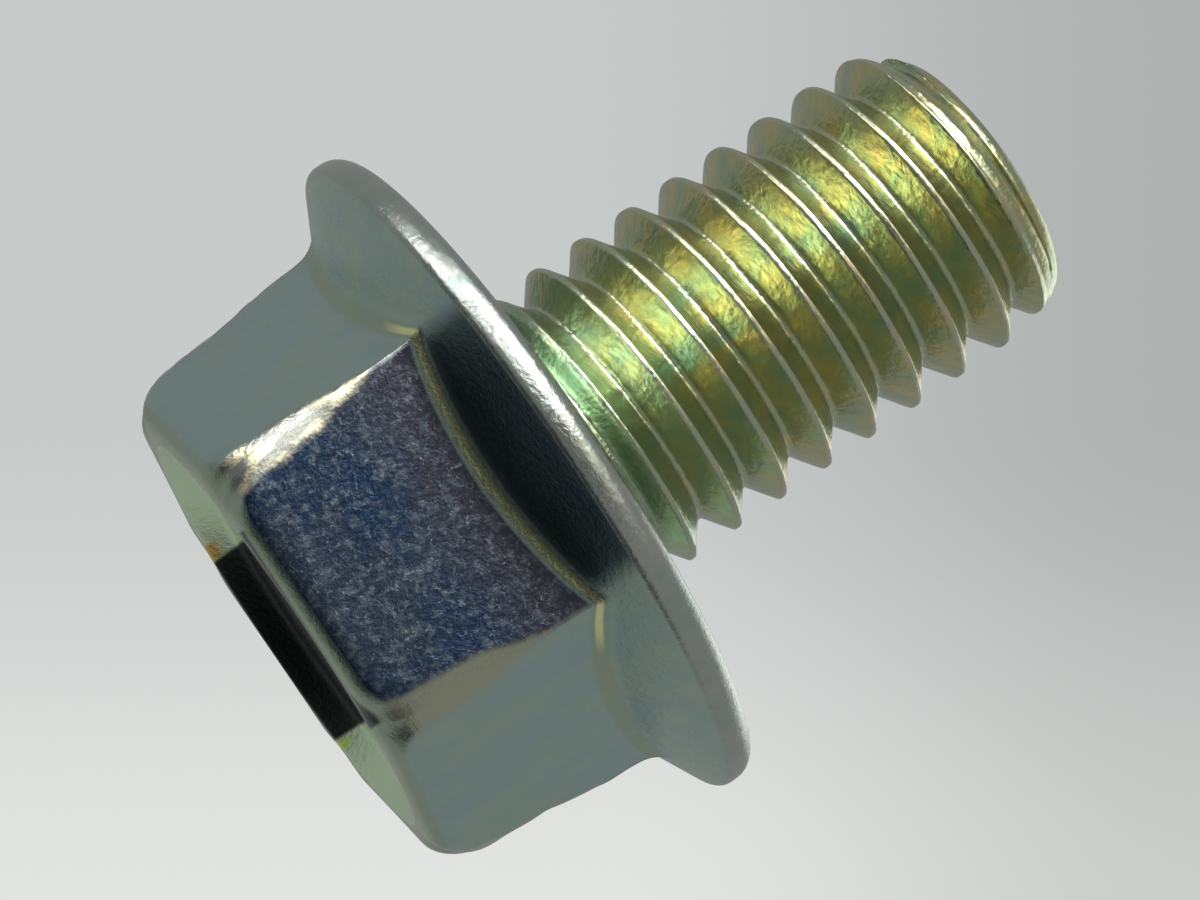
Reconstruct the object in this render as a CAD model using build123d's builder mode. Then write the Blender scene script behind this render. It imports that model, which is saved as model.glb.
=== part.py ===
from build123d import *
import os
from math import radians, tan

# Flange bolt, one forged and rolled piece.
# +Z runs along the shank to its tip, and the origin is the centre of the bearing face.
# Lengths are in millimetres, angles in degrees.

# Thread: right-hand, coarse, with flat crests and flat roots
thread_diameter = 5.94
thread_pitch = 1.0
thread_angle = 60.0
crest_flat = 0.125
root_flat = 0.25
thread_start_angle = 97.0
ridge_seat = 0.06
shank_length = 9.7
tip_diameter = 5.2
tip_taper_length = 0.95
tip_edge_radius = 0.3

# Run-out, where the rolled thread fades into the neck under the head
neck_diameter = 5.5
neck_length = 0.3
neck_fillet = 0.25
crest_fade_end = 1.1
root_fade_end = 1.35
thread_bury = 0.02

# Flange
flange_diameter = 13.3
rim_thickness = 0.62
rim_lower_radius = 0.36
rim_upper_radius = 0.18
cone_angle = 27.5

# Hexagon, drafted so that it leaves the forging die
head_height = 5.6
width_across_flats = 9.5
flat_draft_angle = 1.9
corner_diameter = 10.9
corner_draft_angle = 4.0
top_edge_radius = 1.05
flat_edge_radius = 0.4
root_fillet = 0.6
form_clearance = 0.02

# Dish in the top of the head
dish_diameter = 7.9
dish_depth = 0.55
dish_wall_angle = 50.0
dish_floor_radius = 0.3

# Sizes that follow from those above
thread_radius = thread_diameter / 2
flank_run = (thread_pitch - crest_flat - root_flat) / 2
thread_depth = flank_run / tan(radians(thread_angle / 2))
root_radius = thread_radius - thread_depth
neck_radius = neck_diameter / 2
flange_radius = flange_diameter / 2
corner_radius = corner_diameter / 2
cone_slope = tan(radians(cone_angle))
corner_slope = tan(radians(corner_draft_angle))
head_top = -head_height
rim_top = -rim_thickness


def cone_level(radius, clearance=0.0):
    """Height of the flange's conical top at a radius, or of a cone held clear of it."""
    return rim_top - clearance - (flange_radius - radius) * cone_slope


def round_corner(radial, height, radius):
    """Round the corner of the half-plane section nearest to a point."""
    fillet(vertices().sort_by_distance((radial, height))[0], radius=radius)


# Head: a drafted hexagon that stands on the flange
with BuildPart() as bolt:
    with BuildSketch(Plane.XY):
        RegularPolygon(width_across_flats / 2, 6, major_radius=False, rotation=30)
    extrude(amount=head_top)
    draft(bolt.faces().filter_by(Axis.Z, reverse=True), Plane.XY, -flat_draft_angle)

    # Flange, with a rounded rim and a conical top that blends into the flats
    with BuildSketch(Plane.XZ):
        with BuildLine():
            Polyline(
                (0, 0),
                (flange_radius, 0),
                (flange_radius, rim_top),
                (neck_radius, cone_level(neck_radius)),
                (0, cone_level(neck_radius)),
                close=True,
            )
        make_face()
        round_corner(flange_radius, 0, rim_lower_radius)
        round_corner(flange_radius, rim_top, rim_upper_radius)
    revolve(axis=Axis.Z)
    fillet(bolt.edges().filter_by(GeomType.HYPERBOLA), radius=root_fillet)

    # Turned form that trims the corners of the hexagon and blends them into the cone
    with BuildSketch(Plane.YZ):
        meet_level = (cone_level(corner_radius, form_clearance)) / (1 - cone_slope * corner_slope)
        meet_radius = corner_radius + meet_level * corner_slope
        outside = 2 * flange_radius
        with BuildLine():
            Polyline(
                (0, head_top),
                (corner_radius + head_top * corner_slope, head_top),
                (meet_radius, meet_level),
                (outside, cone_level(outside, form_clearance)),
                (outside, outside),
                (0, outside),
                close=True,
            )
        make_face()
        round_corner(corner_radius + head_top * corner_slope, head_top, top_edge_radius)
        round_corner(meet_radius, meet_level, root_fillet)
    revolve(axis=Axis.Z, mode=Mode.INTERSECT)

    # Softened edges where the flats run out under the rounded top
    flat_tops = bolt.edges().filter_by(lambda edge: edge.center().Z < head_top + top_edge_radius / 2)
    flat_tops = flat_tops.filter_by(GeomType.BSPLINE)
    fillet(flat_tops, radius=flat_edge_radius)

    # Dish pressed into the top
    with BuildSketch(Plane.XZ):
        dish_wall_run = dish_depth / tan(radians(dish_wall_angle))
        dish_radius = dish_diameter / 2
        with BuildLine():
            Polyline(
                (0, head_top),
                (dish_radius, head_top),
                (dish_radius - dish_wall_run, head_top + dish_depth),
                (0, head_top + dish_depth),
                close=True,
            )
        make_face()
        round_corner(dish_radius - dish_wall_run, head_top + dish_depth, dish_floor_radius)
    revolve(axis=Axis.Z, mode=Mode.SUBTRACT)

    # Neck that the thread fades into, filleted to the bearing face
    with BuildSketch(Plane.XZ):
        fade_slope = (neck_radius - root_radius) / (root_fade_end - neck_length)
        neck_end_radius = root_radius - ridge_seat
        neck_end = root_fade_end + ridge_seat / fade_slope
        with BuildLine():
            Polyline(
                (0, rim_top),
                (neck_radius, rim_top),
                (neck_radius, neck_length),
                (neck_end_radius, neck_end),
                (0, neck_end),
                close=True,
            )
        make_face()
    revolve(axis=Axis.Z)
    bearing_edges = bolt.edges().filter_by(GeomType.CIRCLE).filter_by_position(Axis.Z, -0.01, 0.01)
    fillet(bearing_edges.sort_by(SortBy.RADIUS)[0], radius=neck_fillet)

# Thread ridge: one section swept along a helix that starts inside the flange and overruns the tip
with BuildPart() as ridge:
    with BuildLine():
        helix = Helix(
            pitch=thread_pitch,
            height=shank_length + 2 * thread_pitch,
            radius=root_radius,
            center=(0, 0, -thread_pitch),
        )
    with BuildSketch(Plane(origin=(0, 0, -thread_pitch), x_dir=(1, 0, 0), z_dir=(0, -1, 0))):
        seat_half = (thread_pitch - root_flat) / 2 + ridge_seat * tan(radians(thread_angle / 2))
        with BuildLine():
            Polyline(
                (root_radius - ridge_seat, -seat_half),
                (thread_radius, -crest_flat / 2),
                (thread_radius, crest_flat / 2),
                (root_radius - ridge_seat, seat_half),
                close=True,
            )
        make_face()
    sweep(path=helix, is_frenet=True)

# Threaded shank: core and ridge held inside a turned envelope that starts within the neck
with BuildPart() as shank:
    Cylinder(
        root_radius,
        shank_length + thread_pitch,
        align=(Align.CENTER, Align.CENTER, Align.MIN),
    )
    add(ridge.part.rotate(Axis.Z, thread_start_angle))
    with BuildSketch(Plane.XZ):
        with BuildLine():
            Polyline(
                (0, neck_length / 2),
                (neck_radius - thread_bury, neck_length / 2),
                (thread_radius, crest_fade_end),
                (thread_radius, shank_length - tip_taper_length),
                (tip_diameter / 2, shank_length),
                (0, shank_length),
                close=True,
            )
        make_face()
        round_corner(tip_diameter / 2, shank_length, tip_edge_radius)
    revolve(axis=Axis.Z, mode=Mode.INTERSECT)

with BuildPart() as flange_bolt:
    add(bolt.part)
    add(shank.part)

flange_bolt.part.label = "flange_bolt"
os.makedirs("parts", exist_ok=True)
export_step(flange_bolt.part, "parts/flange_bolt.step")
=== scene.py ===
import math

import bmesh
import bpy
import numpy as np
from mathutils import Matrix, Vector


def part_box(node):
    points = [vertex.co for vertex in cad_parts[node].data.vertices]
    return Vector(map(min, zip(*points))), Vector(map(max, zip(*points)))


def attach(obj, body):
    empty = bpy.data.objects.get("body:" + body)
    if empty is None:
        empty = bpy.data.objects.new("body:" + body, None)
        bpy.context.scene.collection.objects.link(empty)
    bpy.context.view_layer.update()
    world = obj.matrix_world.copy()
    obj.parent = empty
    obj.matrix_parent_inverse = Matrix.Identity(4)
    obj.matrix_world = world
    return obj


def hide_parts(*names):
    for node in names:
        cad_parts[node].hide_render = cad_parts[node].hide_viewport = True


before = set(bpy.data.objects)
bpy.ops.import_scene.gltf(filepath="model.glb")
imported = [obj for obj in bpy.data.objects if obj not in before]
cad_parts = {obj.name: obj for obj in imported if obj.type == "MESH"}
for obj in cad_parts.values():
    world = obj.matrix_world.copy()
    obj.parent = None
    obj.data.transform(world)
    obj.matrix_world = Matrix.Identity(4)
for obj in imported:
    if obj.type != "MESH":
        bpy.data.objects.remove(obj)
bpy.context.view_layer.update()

MM = 0.001
TURN = 2 * math.pi
low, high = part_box("flange_bolt")
head_top = low.z / MM
tip_end = high.z / MM
flange_radius = high.x / MM - 0.002

# Head
across_flats_foot = 9.5
across_flats_top = 9.13
corner_levels = (-5.6, -4.8, -3.5, -2.3, -1.5)
corner_radii = (5.04, 5.11, 5.2, 5.4, 5.46)
flat_top_radius = 0.5
corner_top_radius = 1.0
foot_radius = 0.72
flat_azimuth = math.radians(120)
corner_softness = 0.03
corner_unevenness = 0.009
side_low_level = -1.8

# Dish in the head
dish_radius = 4.02
dish_depth = 0.55
dish_wall_run = 0.42
dish_floor_radius = 0.3
dish_rim_radius = 0.1

# Flange
rim_thickness = 0.62
rim_upper_radius = 0.2
rim_lower_radius = 0.38
cone_slope = math.tan(math.radians(27.5))

# Neck and thread
neck_radius = 2.75
neck_fillet = 0.25
neck_end = 0.45
pitch = 1.0
major_radius = 2.97
root_radius = 2.435
crest_half = 0.038
root_half = 0.05
fade_start = 0.3
crest_fade_end = 1.1
root_fade_end = 1.35
crest_azimuth = math.radians(123.1)
crest_height = 2.037
helix_end = 9.46
tip_taper_start = 8.75
tip_radius = 2.64
tip_edge_radius = 0.3
tip_edge_slack = 0.05
thread_unevenness = 0.006

# Places across the bolt, seen square to the near flat, where shade and highlights are painted into
# the coat's colour
painted_shade_cone_middle = -0.35
painted_shade_dish_middle = 0.12
gold_highlight_across = -2.05
green_highlight_across = 2.25

# Camera, on the side of the flat at flat_azimuth and a little below the head
camera_azimuth = math.radians(123.1)
camera_distance = 82.385
camera_height = -12.949
camera_yaw = 0.1677
camera_pitch = 0.0048
camera_roll = 0.5949
camera_lens = 138.98
camera_sensor = 36.0


def waves(around, along, seed, count=7, fine=1.0):
    """A smooth uneven value near -1 to 1, the same on every run."""
    rng = np.random.default_rng(seed)
    total = 0.0
    for _ in range(count):
        turns = rng.integers(-9, 10)
        rate = rng.uniform(-7, 7) * fine
        total = total + np.sin(turns * around + rate * along + rng.uniform(0, TURN))
    return total / math.sqrt(count)


def soft_min(a, b, softness):
    share = np.clip(0.5 + 0.5 * (b - a) / softness, 0, 1)
    return b * (1 - share) + a * share - softness * share * (1 - share)


def smooth(value, start, end):
    share = np.clip((value - start) / (end - start), 0, 1)
    return share * share * (3 - 2 * share)


def from_flat(around):
    """Angle from the middle of the nearest flat."""
    return (around - flat_azimuth + math.pi / 6) % (math.pi / 3) - math.pi / 6


def hexagon(around, height):
    """Radii of the flats and of the trimmed corners at a height."""
    share = np.clip(height / head_top, 0, 1)
    across = across_flats_foot + (across_flats_top - across_flats_foot) * share
    corner = np.interp(height, corner_levels, corner_radii)
    corner = corner + corner_unevenness * waves(around, height, 5, 9, 1.9)
    return across / 2 / np.cos(from_flat(around)), corner


def head_side(around, height):
    flats, corner = hexagon(around, height)
    return soft_min(flats, corner, corner_softness)


def rounded(points, radii, spans):
    """Points along a path whose corners are arcs, one path for each azimuth."""
    pieces = []
    last = points[0]
    for k in range(1, len(points)):
        corner = points[k]
        if k == len(points) - 1:
            start, arc = corner, None
        else:
            into = corner - points[k - 1]
            out = points[k + 1] - corner
            into = into / np.linalg.norm(into, axis=-1, keepdims=True)
            out = out / np.linalg.norm(out, axis=-1, keepdims=True)
            cross = into[:, 0] * out[:, 1] - into[:, 1] * out[:, 0]
            turn = np.arctan2(cross, (into * out).sum(-1))
            radius = radii[k] * np.ones(len(turn))
            reach = (radius * np.tan(np.abs(turn) / 2))[:, None]
            start = corner - into * reach
            side = np.stack([-into[:, 1], into[:, 0]], -1) * np.sign(turn)[:, None]
            centre = start + side * radius[:, None]
            arc = (centre, start - centre, turn)
        straight, curved = spans[k - 1]
        for s in range(straight):
            pieces.append(last + (start - last) * (s / straight))
        if arc is None:
            pieces.append(start)
            break
        centre, arm, turn = arc
        for s in range(curved):
            angle = turn * s / curved
            c, n = np.cos(angle), np.sin(angle)
            spoke = np.stack([arm[:, 0] * c - arm[:, 1] * n, arm[:, 0] * n + arm[:, 1] * c], -1)
            pieces.append(centre + spoke)
        c, n = np.cos(turn), np.sin(turn)
        last = centre + np.stack([arm[:, 0] * c - arm[:, 1] * n, arm[:, 0] * n + arm[:, 1] * c], -1)
    return np.array(pieces)


def column_angles():
    """Azimuths of the columns, closer together at the corners of the head."""
    near = list(np.arange(-30, -24, 0.75))
    middle = list(np.arange(-24, 24, 1.5))
    far = list(np.arange(24, 30, 0.75))
    sector = np.radians(near + middle + far)
    return np.concatenate([flat_azimuth + k * math.pi / 3 + sector for k in range(6)])


def thread_distance(around, height):
    """Axial distance from the nearest crest."""
    phase = (height - crest_height) / pitch - (around - crest_azimuth) / TURN
    return np.abs((phase + 0.5) % 1.0 - 0.5) * pitch


def thread_surface(around, height):
    """Radius of the threaded shank."""
    away = thread_distance(around, height)
    down = np.clip((away - crest_half) / (pitch / 2 - crest_half - root_half), 0, 1)
    radius = major_radius - (major_radius - root_radius) * down
    fade = np.clip((height - fade_start) / (crest_fade_end - fade_start), 0, 1)
    full = np.minimum(radius, neck_radius + (major_radius - neck_radius) * fade)
    fade = np.clip((height - fade_start) / (root_fade_end - fade_start), 0, 1)
    filled = neck_radius + (root_radius - neck_radius) * fade
    radius = np.maximum(full, filled)
    taper = (height - tip_taper_start) / (tip_end - tip_taper_start)
    envelope = major_radius + (tip_radius - major_radius) * taper
    radius = np.minimum(radius, envelope)
    return radius + thread_unevenness * waves(around, height, 11, 9, 2.2)


def head_rows(around):
    """Rows from the middle of the dish to the neck, with their region names."""
    ones = np.ones(len(around))
    top_r = head_side(around, head_top * ones)
    low_r = head_side(around, side_low_level * ones)
    slope = (top_r - low_r) / (head_top - side_low_level)
    line_zero = top_r - slope * head_top
    rim_top = -rim_thickness
    foot_z = (rim_top - (flange_radius - line_zero) * cone_slope) / (1 - slope * cone_slope)
    foot_r = line_zero + slope * foot_z

    def at(radial, height):
        return np.stack([radial * ones, height * ones], -1)

    near_corner = smooth(np.abs(from_flat(around)), math.radians(20), math.radians(29))
    top_radius = flat_top_radius + (corner_top_radius - flat_top_radius) * near_corner
    points = [
        at(0, head_top + dish_depth),
        at(dish_radius - dish_wall_run, head_top + dish_depth),
        at(dish_radius, head_top),
        at(top_r, head_top),
        at(foot_r, foot_z),
        at(flange_radius, rim_top),
        at(flange_radius, 0),
        at(neck_radius, 0),
        at(neck_radius, neck_end),
    ]
    radii = [0, dish_floor_radius, dish_rim_radius, top_radius, foot_radius]
    radii += [rim_upper_radius, rim_lower_radius, neck_fillet]
    spans = [(7, 5), (3, 3), (3, 9), (24, 9), (8, 6), (3, 7), (9, 5), (3, 0)]
    path = rounded(points, radii, spans)
    radial, height = path[..., 0], path[..., 1]
    start = sum(a + b for a, b in spans[:3])
    end = start + spans[3][0]
    rows = np.arange(start, end + 1)
    window = smooth(rows, start, start + 3) * smooth(-rows, -end, 3 - end)
    z = height[rows]
    change = head_side(around[None, :], z) - (line_zero + slope * z)
    radial[rows] += change * window[:, None]
    marks = {name: np.zeros(len(path)) for name in ("flat", "foot", "cone", "rim", "dish")}
    edges = np.cumsum([a + b for a, b in spans])
    marks["flat"][start - 3 : end + 3] = 1
    hump = np.sin(np.linspace(0, math.pi, edges[3] + 1 - end)) ** 12
    marks["foot"][end : edges[3] + 1] = hump
    marks["cone"][edges[3] - 2 : edges[4] - 4] = 1
    marks["rim"][edges[4] - 4 : edges[5]] = 1
    marks["dish"][: edges[1]] = 1
    return radial, height, marks


def thread_rows(around):
    """Rows that follow the helix from the neck to the tip."""
    steps = [0, 0.04, 0.07, 0.11, 0.16, 0.22, 0.28, 0.34, 0.38, 0.42, 0.46, 0.5]
    offsets = np.array(steps + [1 - s for s in steps[-2:0:-1]]) * pitch
    turns = (around - crest_azimuth) % TURN / TURN
    first = math.floor(neck_end - crest_height - 1)
    last = math.ceil(helix_end - crest_height)
    starts = np.arange(first, last + 1) * pitch + crest_height
    levels = (starts[:, None] + offsets[None, :]).ravel()
    height = levels[:, None] + turns[None, :] * pitch
    return np.clip(height, neck_end, helix_end), len(offsets)


def build_bolt():
    around = column_angles()
    columns = len(around)
    order = np.argsort((around - crest_azimuth) % TURN)
    around = around[order]
    radial, height, marks = head_rows(around)
    head_count = len(radial) - 1
    helix_z, per_turn = thread_rows(around)
    helix_r = thread_surface(around[None, :], helix_z)
    levels = np.linspace(helix_end, tip_end - tip_edge_radius, 4)[1:]
    tip_z = [np.full(columns, z) for z in levels]
    tip_r = [thread_surface(around, z) for z in tip_z]
    before_edge, after_edge = 2, 8
    for angle in np.radians([15, 30, 45, 60, 75, 90]):
        level = tip_end - tip_edge_radius * (1 - math.sin(angle))
        inset = tip_edge_radius * (1 - math.cos(angle))
        tip_z.append(np.full(columns, level))
        tip_r.append(np.minimum(tip_r[before_edge], tip_radius + tip_edge_slack) - inset)
    for share in (0.75, 0.4, 0):
        tip_z.append(np.full(columns, tip_end))
        tip_r.append(tip_r[after_edge] * share)
    tip_r, tip_z = np.array(tip_r), np.array(tip_z)

    radii = np.concatenate([radial[:-1], helix_r, tip_r])
    heights = np.concatenate([height[:-1], helix_z, tip_z])
    x = radii * np.cos(around) * MM
    y = radii * np.sin(around) * MM
    points = np.stack([x, y, heights * MM], -1).reshape(-1, 3)
    count = len(radii)
    helix_first, helix_last = head_count, head_count + len(helix_z)

    faces = []
    for i in range(count - 1):
        for j in range(columns):
            k = (j + 1) % columns
            a, b = i * columns + j, (i + 1) * columns + j
            c, d = (i + 1) * columns + k, i * columns + k
            if k == 0:
                if helix_first <= i < helix_last - 1:
                    if i + per_turn > helix_last - 1:
                        continue
                    c = min(i + 1 + per_turn, helix_last - 1) * columns
                    d = min(i + per_turn, helix_last - 1) * columns
            faces.append((a, d, c, b))
    mesh = bpy.data.meshes.new("bolt_body")
    mesh.from_pydata(points.tolist(), [], faces)
    values = {name: np.zeros((count, columns)) for name in marks}
    for name, rows in marks.items():
        values[name][:head_count] = rows[:-1, None]
    flats, corner = hexagon(around[None, :], heights)
    values["band"] = smooth(flats - corner, -0.05, 0.02) * values["flat"]
    round_from_near = np.abs((around - flat_azimuth + math.pi) % TURN - math.pi)
    near_flat = 1 - smooth(round_from_near, math.radians(29.8), math.radians(30.6))
    values["near"] = values["flat"] * near_flat[None, :]
    threads = np.zeros((count, columns))
    threads[head_count:] = 1
    values["thread"] = threads
    away = thread_distance(around[None, :], heights)
    full_thread = threads * smooth(heights, 0.9, 1.3)
    values["crest"] = (1 - smooth(away, 0.025, 0.055)) * full_thread
    values["root"] = smooth(away, 0.44, 0.48) * full_thread
    for name, data in values.items():
        layer = mesh.attributes.new(name, "FLOAT", "POINT")
        layer.data.foreach_set("value", data.ravel().astype(np.float32))
    piece = bpy.data.objects.new("bolt_body", mesh)
    bpy.context.scene.collection.objects.link(piece)
    shape = bmesh.new()
    shape.from_mesh(mesh)
    bmesh.ops.remove_doubles(shape, verts=shape.verts, dist=1e-8)
    bmesh.ops.dissolve_degenerate(shape, edges=shape.edges, dist=1e-8)
    bmesh.ops.recalc_face_normals(shape, faces=shape.faces)
    for face in shape.faces:
        face.smooth = True
    shape.to_mesh(mesh)
    shape.free()
    return piece


class Flow:
    """A socket of the current node tree that takes part in Python arithmetic."""

    tree = None

    def __init__(self, socket):
        self.socket = socket

    @classmethod
    def node(cls, kind, output=0, settings=None, **inputs):
        node = cls.tree.nodes.new(kind)
        for name, value in (settings or {}).items():
            if name == "stops":
                ramp = node.color_ramp
                while len(ramp.elements) < len(value):
                    ramp.elements.new(0.5)
                for element, (place, colour) in zip(ramp.elements, value):
                    element.position = place
                    element.color = (*colour, 1)
            else:
                setattr(node, name, value)
        for name, value in inputs.items():
            key = int(name[1:]) if name[0] == "i" and name[1:].isdigit() else name.replace("_", " ")
            target = node.inputs[key]
            if isinstance(value, Flow):
                cls.tree.links.new(value.socket, target)
            else:
                target.default_value = value
        return cls(node.outputs[output])

    def math(self, operation, other=0.0, clamp=False):
        settings = {"operation": operation, "use_clamp": clamp}
        return Flow.node("ShaderNodeMath", settings=settings, i0=self, i1=other)

    def __add__(self, other):
        return self.math("ADD", other)

    __radd__ = __add__

    def __mul__(self, other):
        return self.math("MULTIPLY", other)

    __rmul__ = __mul__

    def __sub__(self, other):
        return self.math("SUBTRACT", other)

    def __rsub__(self, other):
        return Flow.node("ShaderNodeMath", settings={"operation": "SUBTRACT"}, i0=other, i1=self)

    def step(self, start, end):
        """0 before start, 1 after end, smooth between."""
        settings = {"interpolation_type": "SMOOTHSTEP"}
        if start > end:
            return 1 - self.step(end, start)
        inputs = {"Value": self, "From_Min": start, "From_Max": end}
        return Flow.node("ShaderNodeMapRange", settings=settings, **inputs)

    def most(self, other):
        return self.math("MAXIMUM", other)


def mix(share, first, second):
    def paint(value):
        return value if isinstance(value, Flow) else (*value, 1)

    return Flow.node(
        "ShaderNodeMix", 2, {"data_type": "RGBA", "clamp_factor": True},
        i0=share, i6=paint(first), i7=paint(second),
    )


def noise(place, scale, detail=3.0, rough=0.5, distortion=0.0):
    return Flow.node(
        "ShaderNodeTexNoise", 0, Vector=place, Scale=scale, Detail=detail,
        Roughness=rough, Distortion=distortion,
    )


def srgb(red, painted_green_highlight, blue):
    def channel(value):
        value = value / 255
        return value / 12.92 if value <= 0.04045 else ((value + 0.055) / 1.055) ** 2.4

    return (channel(red), channel(painted_green_highlight), channel(blue))


def mark(name):
    return Flow.node("ShaderNodeAttribute", 2, {"attribute_name": name})


def vector(operation, first, second=(0, 0, 0), output=0):
    return Flow.node(
        "ShaderNodeVectorMath", output, {"operation": operation}, i0=first, i1=second
    )


def plated_steel():
    material = bpy.data.materials.new("passivated_zinc")
    material.use_nodes = True
    Flow.tree = material.node_tree
    shader = material.node_tree.nodes["Principled BSDF"]
    coords = Flow.node("ShaderNodeTexCoord", 3)
    place = Flow.node("ShaderNodeVectorMath", 0, {"operation": "SCALE"}, i0=coords, Scale=1 / MM)
    parts = Flow.node("ShaderNodeSeparateXYZ", Vector=place).socket.node
    x, y, z = (Flow(out) for out in parts.outputs)
    stretched = vector("MULTIPLY", place, (1, 1, 0.35))

    # Place across the bolt and towards its near flat, in millimetres
    side = x * -math.sin(camera_azimuth) + y * math.cos(camera_azimuth)
    front = x * math.cos(camera_azimuth) + y * math.sin(camera_azimuth)

    cloud = noise(place, 0.55, 4, 0.6)
    blotch = noise(stretched, 1.6, 5, 0.62)
    grain = noise(place, 9, 6, 0.65)
    speck = noise(place, 28, 3, 0.6)
    flake = noise(place, 5, 4, 0.75, 0.6)

    flat, band, foot, cone = mark("flat"), mark("band"), mark("foot"), mark("cone")
    rim, dish, thread, crest, root = (
        mark("rim"), mark("dish"), mark("thread"), mark("crest"), mark("root")
    )

    # Interference colours of the passivated coat
    coat = Flow.node(
        "ShaderNodeValToRGB", 0,
        {"stops": [
            (0.3, srgb(158, 184, 160)), (0.42, srgb(176, 190, 150)), (0.52, srgb(188, 192, 142)),
            (0.66, srgb(206, 196, 138)), (0.8, srgb(204, 184, 150)),
        ]},
        Fac=blotch,
    )
    teal = mix(blotch.step(0.35, 0.65), srgb(168, 194, 192), srgb(176, 198, 184))
    # Painted light: on the lamp's side the corner bands get bright painted glints over a greyer tone
    # than on the other side.
    glint = noise(vector("MULTIPLY", place, (1, 1, 0.6)), 2.6, 4, 0.6, 0.5).step(0.48, 0.6)
    painted_lamp_side = side.step(0.5, -1.5)
    band_tone_with_painted_light = mix(glint * painted_lamp_side, mix(painted_lamp_side, srgb(190, 192, 168), srgb(172, 174, 164)), srgb(255, 246, 206))
    near_head = z.step(2.6, 0.2)
    coat = mix(near_head * 0.8, coat, srgb(164, 188, 168))

    facing = mark("near")
    mottle = noise(place, 5.5, 6, 0.7, 0.25)
    # Painted reflection: the near flat is painted dark navy, lighter towards its foot, with pale
    # mottle; the thin pale lines over it are scratches.
    painted_reflection_and_scratches = mix(cloud.step(0.35, 0.65), srgb(52, 76, 108), srgb(72, 84, 104))
    painted_reflection_and_scratches = mix(z.step(-3.6, -1.8), painted_reflection_and_scratches, srgb(88, 88, 100))
    painted_reflection_and_scratches = mix(mottle.step(0.46, 0.68), painted_reflection_and_scratches, srgb(122, 136, 148))
    wander = noise(place, 1.3, 2, 0.5)
    bands = (wander * 9 + mottle * 1.2).math("FRACT")
    thin = bands.step(0.46, 0.5) * (1 - bands.step(0.5, 0.54))
    painted_reflection_and_scratches = mix(thin * grain.step(0.42, 0.6) * 0.7, painted_reflection_and_scratches, srgb(196, 204, 210))
    hexes = mix(facing, teal, painted_reflection_and_scratches)
    scratch = flake.step(0.6, 0.68) * grain.step(0.45, 0.6)
    hexes = mix(scratch * 0.6 * facing, hexes, srgb(226, 228, 230))
    colour = mix(flat, coat, hexes)

    ledge = mix(blotch.step(0.35, 0.7), srgb(170, 196, 190), srgb(182, 202, 180))
    # Painted shade: a dark patch on the cone in front of the near flat.
    middle = (side - painted_shade_cone_middle).math("ABSOLUTE").step(2.9, 2.3) * front.step(2.0, 3.0)
    ledge = mix(middle, ledge, srgb(84, 100, 104))
    colour = mix(cone, colour, ledge)
    colour = mix(rim, colour, mix(blotch.step(0.35, 0.65), srgb(172, 186, 178), srgb(186, 190, 180)))
    # Painted highlight: a bright yellow-green line along the foot fillet on the near side.
    colour = mix(foot.step(0.3, 0.9) * front.step(3.6, 4.4), colour, srgb(250, 255, 190))
    cap = z.step(-5.3, -5.5)
    colour = mix(cap * z.step(-5.5, -5.58), colour, srgb(188, 206, 172))
    # Painted shade: a dark strip across the dish and the head's top on the near side; the rest of
    # the dish is painted pale as a highlight.
    painted_dark_strip = (side - painted_shade_dish_middle).math("ABSOLUTE").step(2.05, 1.95)
    painted_dark_slot = cap * painted_dark_strip * front.step(4.3, 4.1)
    colour = mix(dish * (1 - painted_dark_strip), colour, srgb(226, 250, 210))
    colour = mix((dish * painted_dark_strip).most(painted_dark_slot), colour, srgb(50, 60, 54))
    # Painted highlights: a gold and a green spot on the head's top.
    painted_gold_highlight = cap * (side - gold_highlight_across).math("ABSOLUTE").step(0.2, 0.12) * front.step(0.5, -0.5)
    colour = mix(painted_gold_highlight, colour, srgb(240, 200, 120))
    painted_green_highlight = cap * (side - green_highlight_across).math("ABSOLUTE").step(0.12, 0.04) * front.step(1.0, 0.0)
    colour = mix(painted_green_highlight, colour, srgb(226, 255, 130))

    # The corner bands take their pale worn tone, with painted light from the lamp's side.
    band_wear_and_painted_light = band * (0.85 + grain.step(0.3, 0.5) * 0.15)
    colour = mix(band_wear_and_painted_light, colour, band_tone_with_painted_light)
    colour = mix(crest * grain.step(0.25, 0.45) * 0.55, colour, srgb(206, 208, 194))
    colour = mix(root * 0.4, colour, srgb(196, 204, 176))

    rough = 0.11 + grain * 0.1 + speck * 0.07 + facing * 0.14 + cone * 0.06 + rim * 0.04
    ripple = noise(place, 4.5, 2, 0.5)
    rolled = (thread - crest) * z.step(9.6, 9.2)
    height = grain * 0.4 + speck * 0.2 + blotch * 0.5 + ripple * (0.2 + rolled * 0.8)
    bump = Flow.node("ShaderNodeBump", Strength=0.4, Distance=0.00008, Height=height)
    Flow.tree.links.new(colour.socket, shader.inputs["Base Color"])
    Flow.tree.links.new(rough.socket, shader.inputs["Roughness"])
    Flow.tree.links.new(bump.socket, shader.inputs["Normal"])
    shader.inputs["Metallic"].default_value = 1.0
    return material


def camera_axes():
    """The camera's right, down and forward directions."""
    right = Vector((0, 0, 1))
    down = Vector((-math.sin(camera_azimuth), math.cos(camera_azimuth), 0))
    ahead = Vector((-math.cos(camera_azimuth), -math.sin(camera_azimuth), 0))
    c, s = math.cos(camera_yaw), math.sin(camera_yaw)
    ahead, right = ahead * c + right * s, right * c - ahead * s
    c, s = math.cos(camera_pitch), math.sin(camera_pitch)
    ahead, down = ahead * c + down * s, down * c - ahead * s
    c, s = math.cos(camera_roll), math.sin(camera_roll)
    return right * c + down * s, down * c - right * s, ahead


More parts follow.
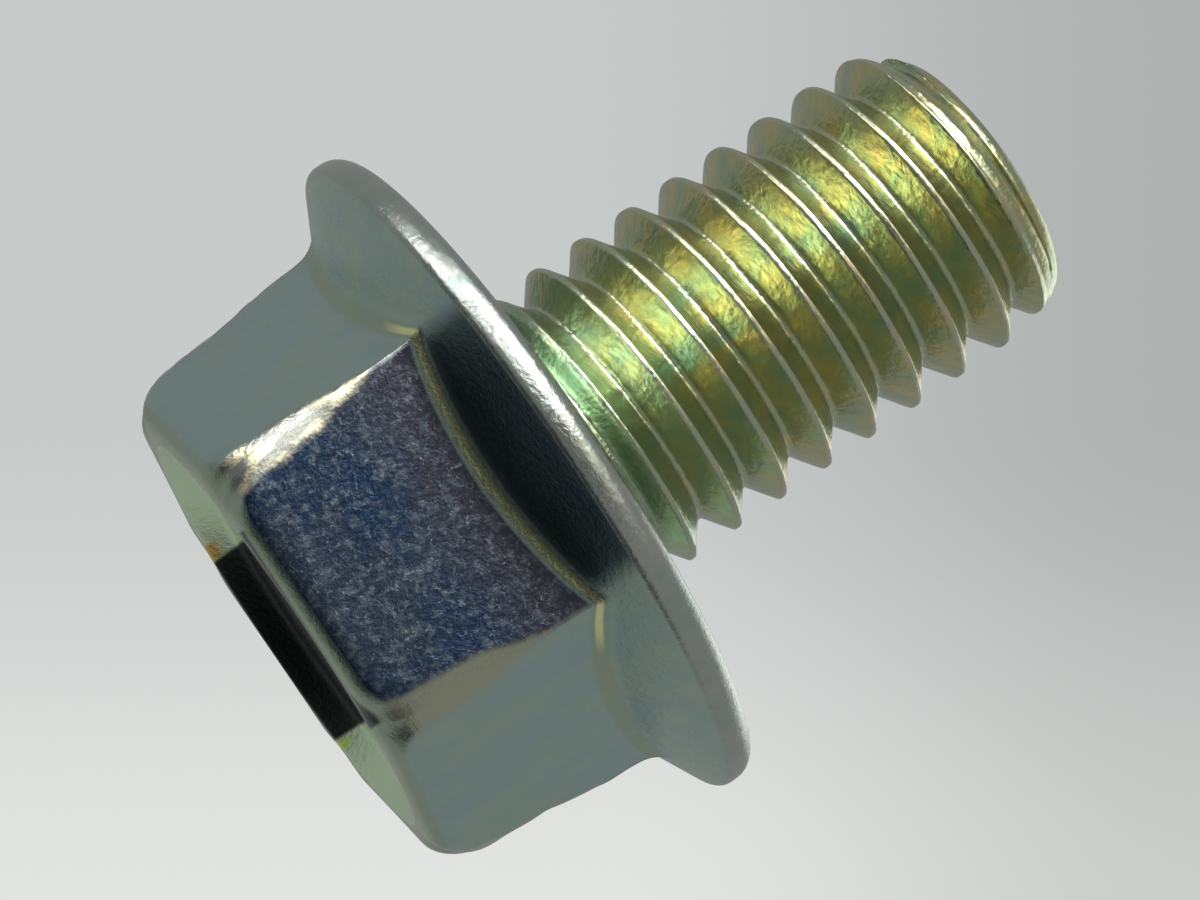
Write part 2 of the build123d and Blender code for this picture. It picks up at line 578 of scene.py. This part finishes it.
def add_camera():
    right, down, ahead = camera_axes()
    data = bpy.data.cameras.new("camera")
    data.lens = camera_lens
    data.sensor_width = camera_sensor
    data.clip_start = 0.001
    data.clip_end = 10
    camera = bpy.data.objects.new("camera", data)
    place = Vector((math.cos(camera_azimuth), math.sin(camera_azimuth), 0)) * camera_distance
    place.z = camera_height
    turn = Matrix((right, -down, -ahead)).transposed().to_4x4()
    camera.matrix_world = Matrix.Translation(place * MM) @ turn
    bpy.context.scene.collection.objects.link(camera)
    bpy.context.scene.camera = camera


def heading(around, up):
    """A direction given by the angle round from the camera's side and the angle up."""
    a = camera_azimuth + math.radians(around)
    up = math.radians(up)
    return Vector((math.cos(a) * math.cos(up), math.sin(a) * math.cos(up), math.sin(up)))


def add_softbox(name, direction, distance, size, watts, aim=(0, 0, 2), colour=(1, 1, 1)):
    data = bpy.data.lights.new(name, "AREA")
    data.shape = "RECTANGLE"
    data.size, data.size_y = size[0] * MM, size[1] * MM
    data.energy = watts
    data.color = colour
    lamp = bpy.data.objects.new(name, data)
    aim = Vector(aim) * MM
    direction = Vector(direction).normalized()
    lamp.location = aim + direction * distance * MM
    lamp.rotation_euler = direction.to_track_quat("Z", "Y").to_euler()
    bpy.context.scene.collection.objects.link(lamp)
    return lamp


def add_floor():
    mesh = bpy.data.meshes.new("floor")
    reach = 0.6
    corners = [(-reach, -reach), (reach, -reach), (reach, reach), (-reach, reach)]
    mesh.from_pydata([(a, b, head_top * MM - 1e-5) for a, b in corners], [], [(0, 1, 2, 3)])
    floor = bpy.data.objects.new("floor", mesh)
    bpy.context.scene.collection.objects.link(floor)
    material = bpy.data.materials.new("pale_floor")
    material.use_nodes = True
    Flow.tree = material.node_tree
    shader = material.node_tree.nodes["Principled BSDF"]
    shader.inputs["Base Color"].default_value = (*srgb(205, 207, 204), 1)
    shader.inputs["Roughness"].default_value = 0.9
    output = material.node_tree.nodes["Material Output"]
    under = Flow.node("ShaderNodeNewGeometry", 6)
    clear = Flow.node("ShaderNodeBsdfTransparent")
    both = Flow.node("ShaderNodeMixShader", i0=under, i1=Flow(shader.outputs[0]), i2=clear)
    Flow.tree.links.new(both.socket, output.inputs[0])
    mesh.materials.append(material)
    floor.visible_glossy = False
    floor.visible_diffuse = False


def add_world():
    world = bpy.data.worlds.new("studio")
    bpy.context.scene.world = world
    world.use_nodes = True
    Flow.tree = world.node_tree
    nodes = world.node_tree.nodes
    nodes.clear()
    right, down, _ahead = camera_axes()
    ray = Flow.node("ShaderNodeTexCoord", 0)
    across = vector("DOT_PRODUCT", ray, tuple(right), 1)
    drop = vector("DOT_PRODUCT", ray, tuple(down), 1)
    upper = mix(across.step(-0.02, 0.13), srgb(199, 203, 202), srgb(174, 178, 177))
    lower = mix(across.step(0.0, 0.13), srgb(226, 228, 225), srgb(202, 206, 203))
    seen = mix(drop.step(-0.01, 0.1), upper, lower)
    backdrop = Flow.node("ShaderNodeBackground", Color=seen, Strength=1.0)
    facing_way = Vector((math.cos(camera_azimuth), math.sin(camera_azimuth), 0.12)).normalized()
    ahead_of = vector("DOT_PRODUCT", ray, tuple(facing_way), 1)
    rise = vector("DOT_PRODUCT", ray, (0, 0, 1), 1)
    below = rise.step(-0.5, -0.7) * ahead_of.step(-0.3, 0.1)
    dark = ahead_of.step(0.9, 0.975).most(below)
    level = mix(dark, (0.31, 0.315, 0.32), (0.03, 0.032, 0.036))
    fill = Flow.node("ShaderNodeBackground", Color=level, Strength=1.0)
    direct = Flow.node("ShaderNodeLightPath", 0)
    both = Flow.node("ShaderNodeMixShader", i0=direct, i1=fill, i2=backdrop)
    output = nodes.new("ShaderNodeOutputWorld")
    Flow.tree.links.new(both.socket, output.inputs[0])


bpy.context.scene.view_settings.view_transform = "Standard"
body = build_bolt()
body.data.materials.append(plated_steel())
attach(body, "root")
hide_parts("flange_bolt")
add_camera()
add_softbox("key", heading(-38, 36), 160, (76, 70), 0.26)
add_softbox("kick", heading(4, 36), 160, (36, 50), 0.022, colour=(1, 0.86, 0.66))
add_softbox("side", heading(-68, 0), 160, (34, 44), 0.06)
add_softbox("rear", heading(150, 40), 180, (120, 120), 0.05)
add_floor()
add_world()
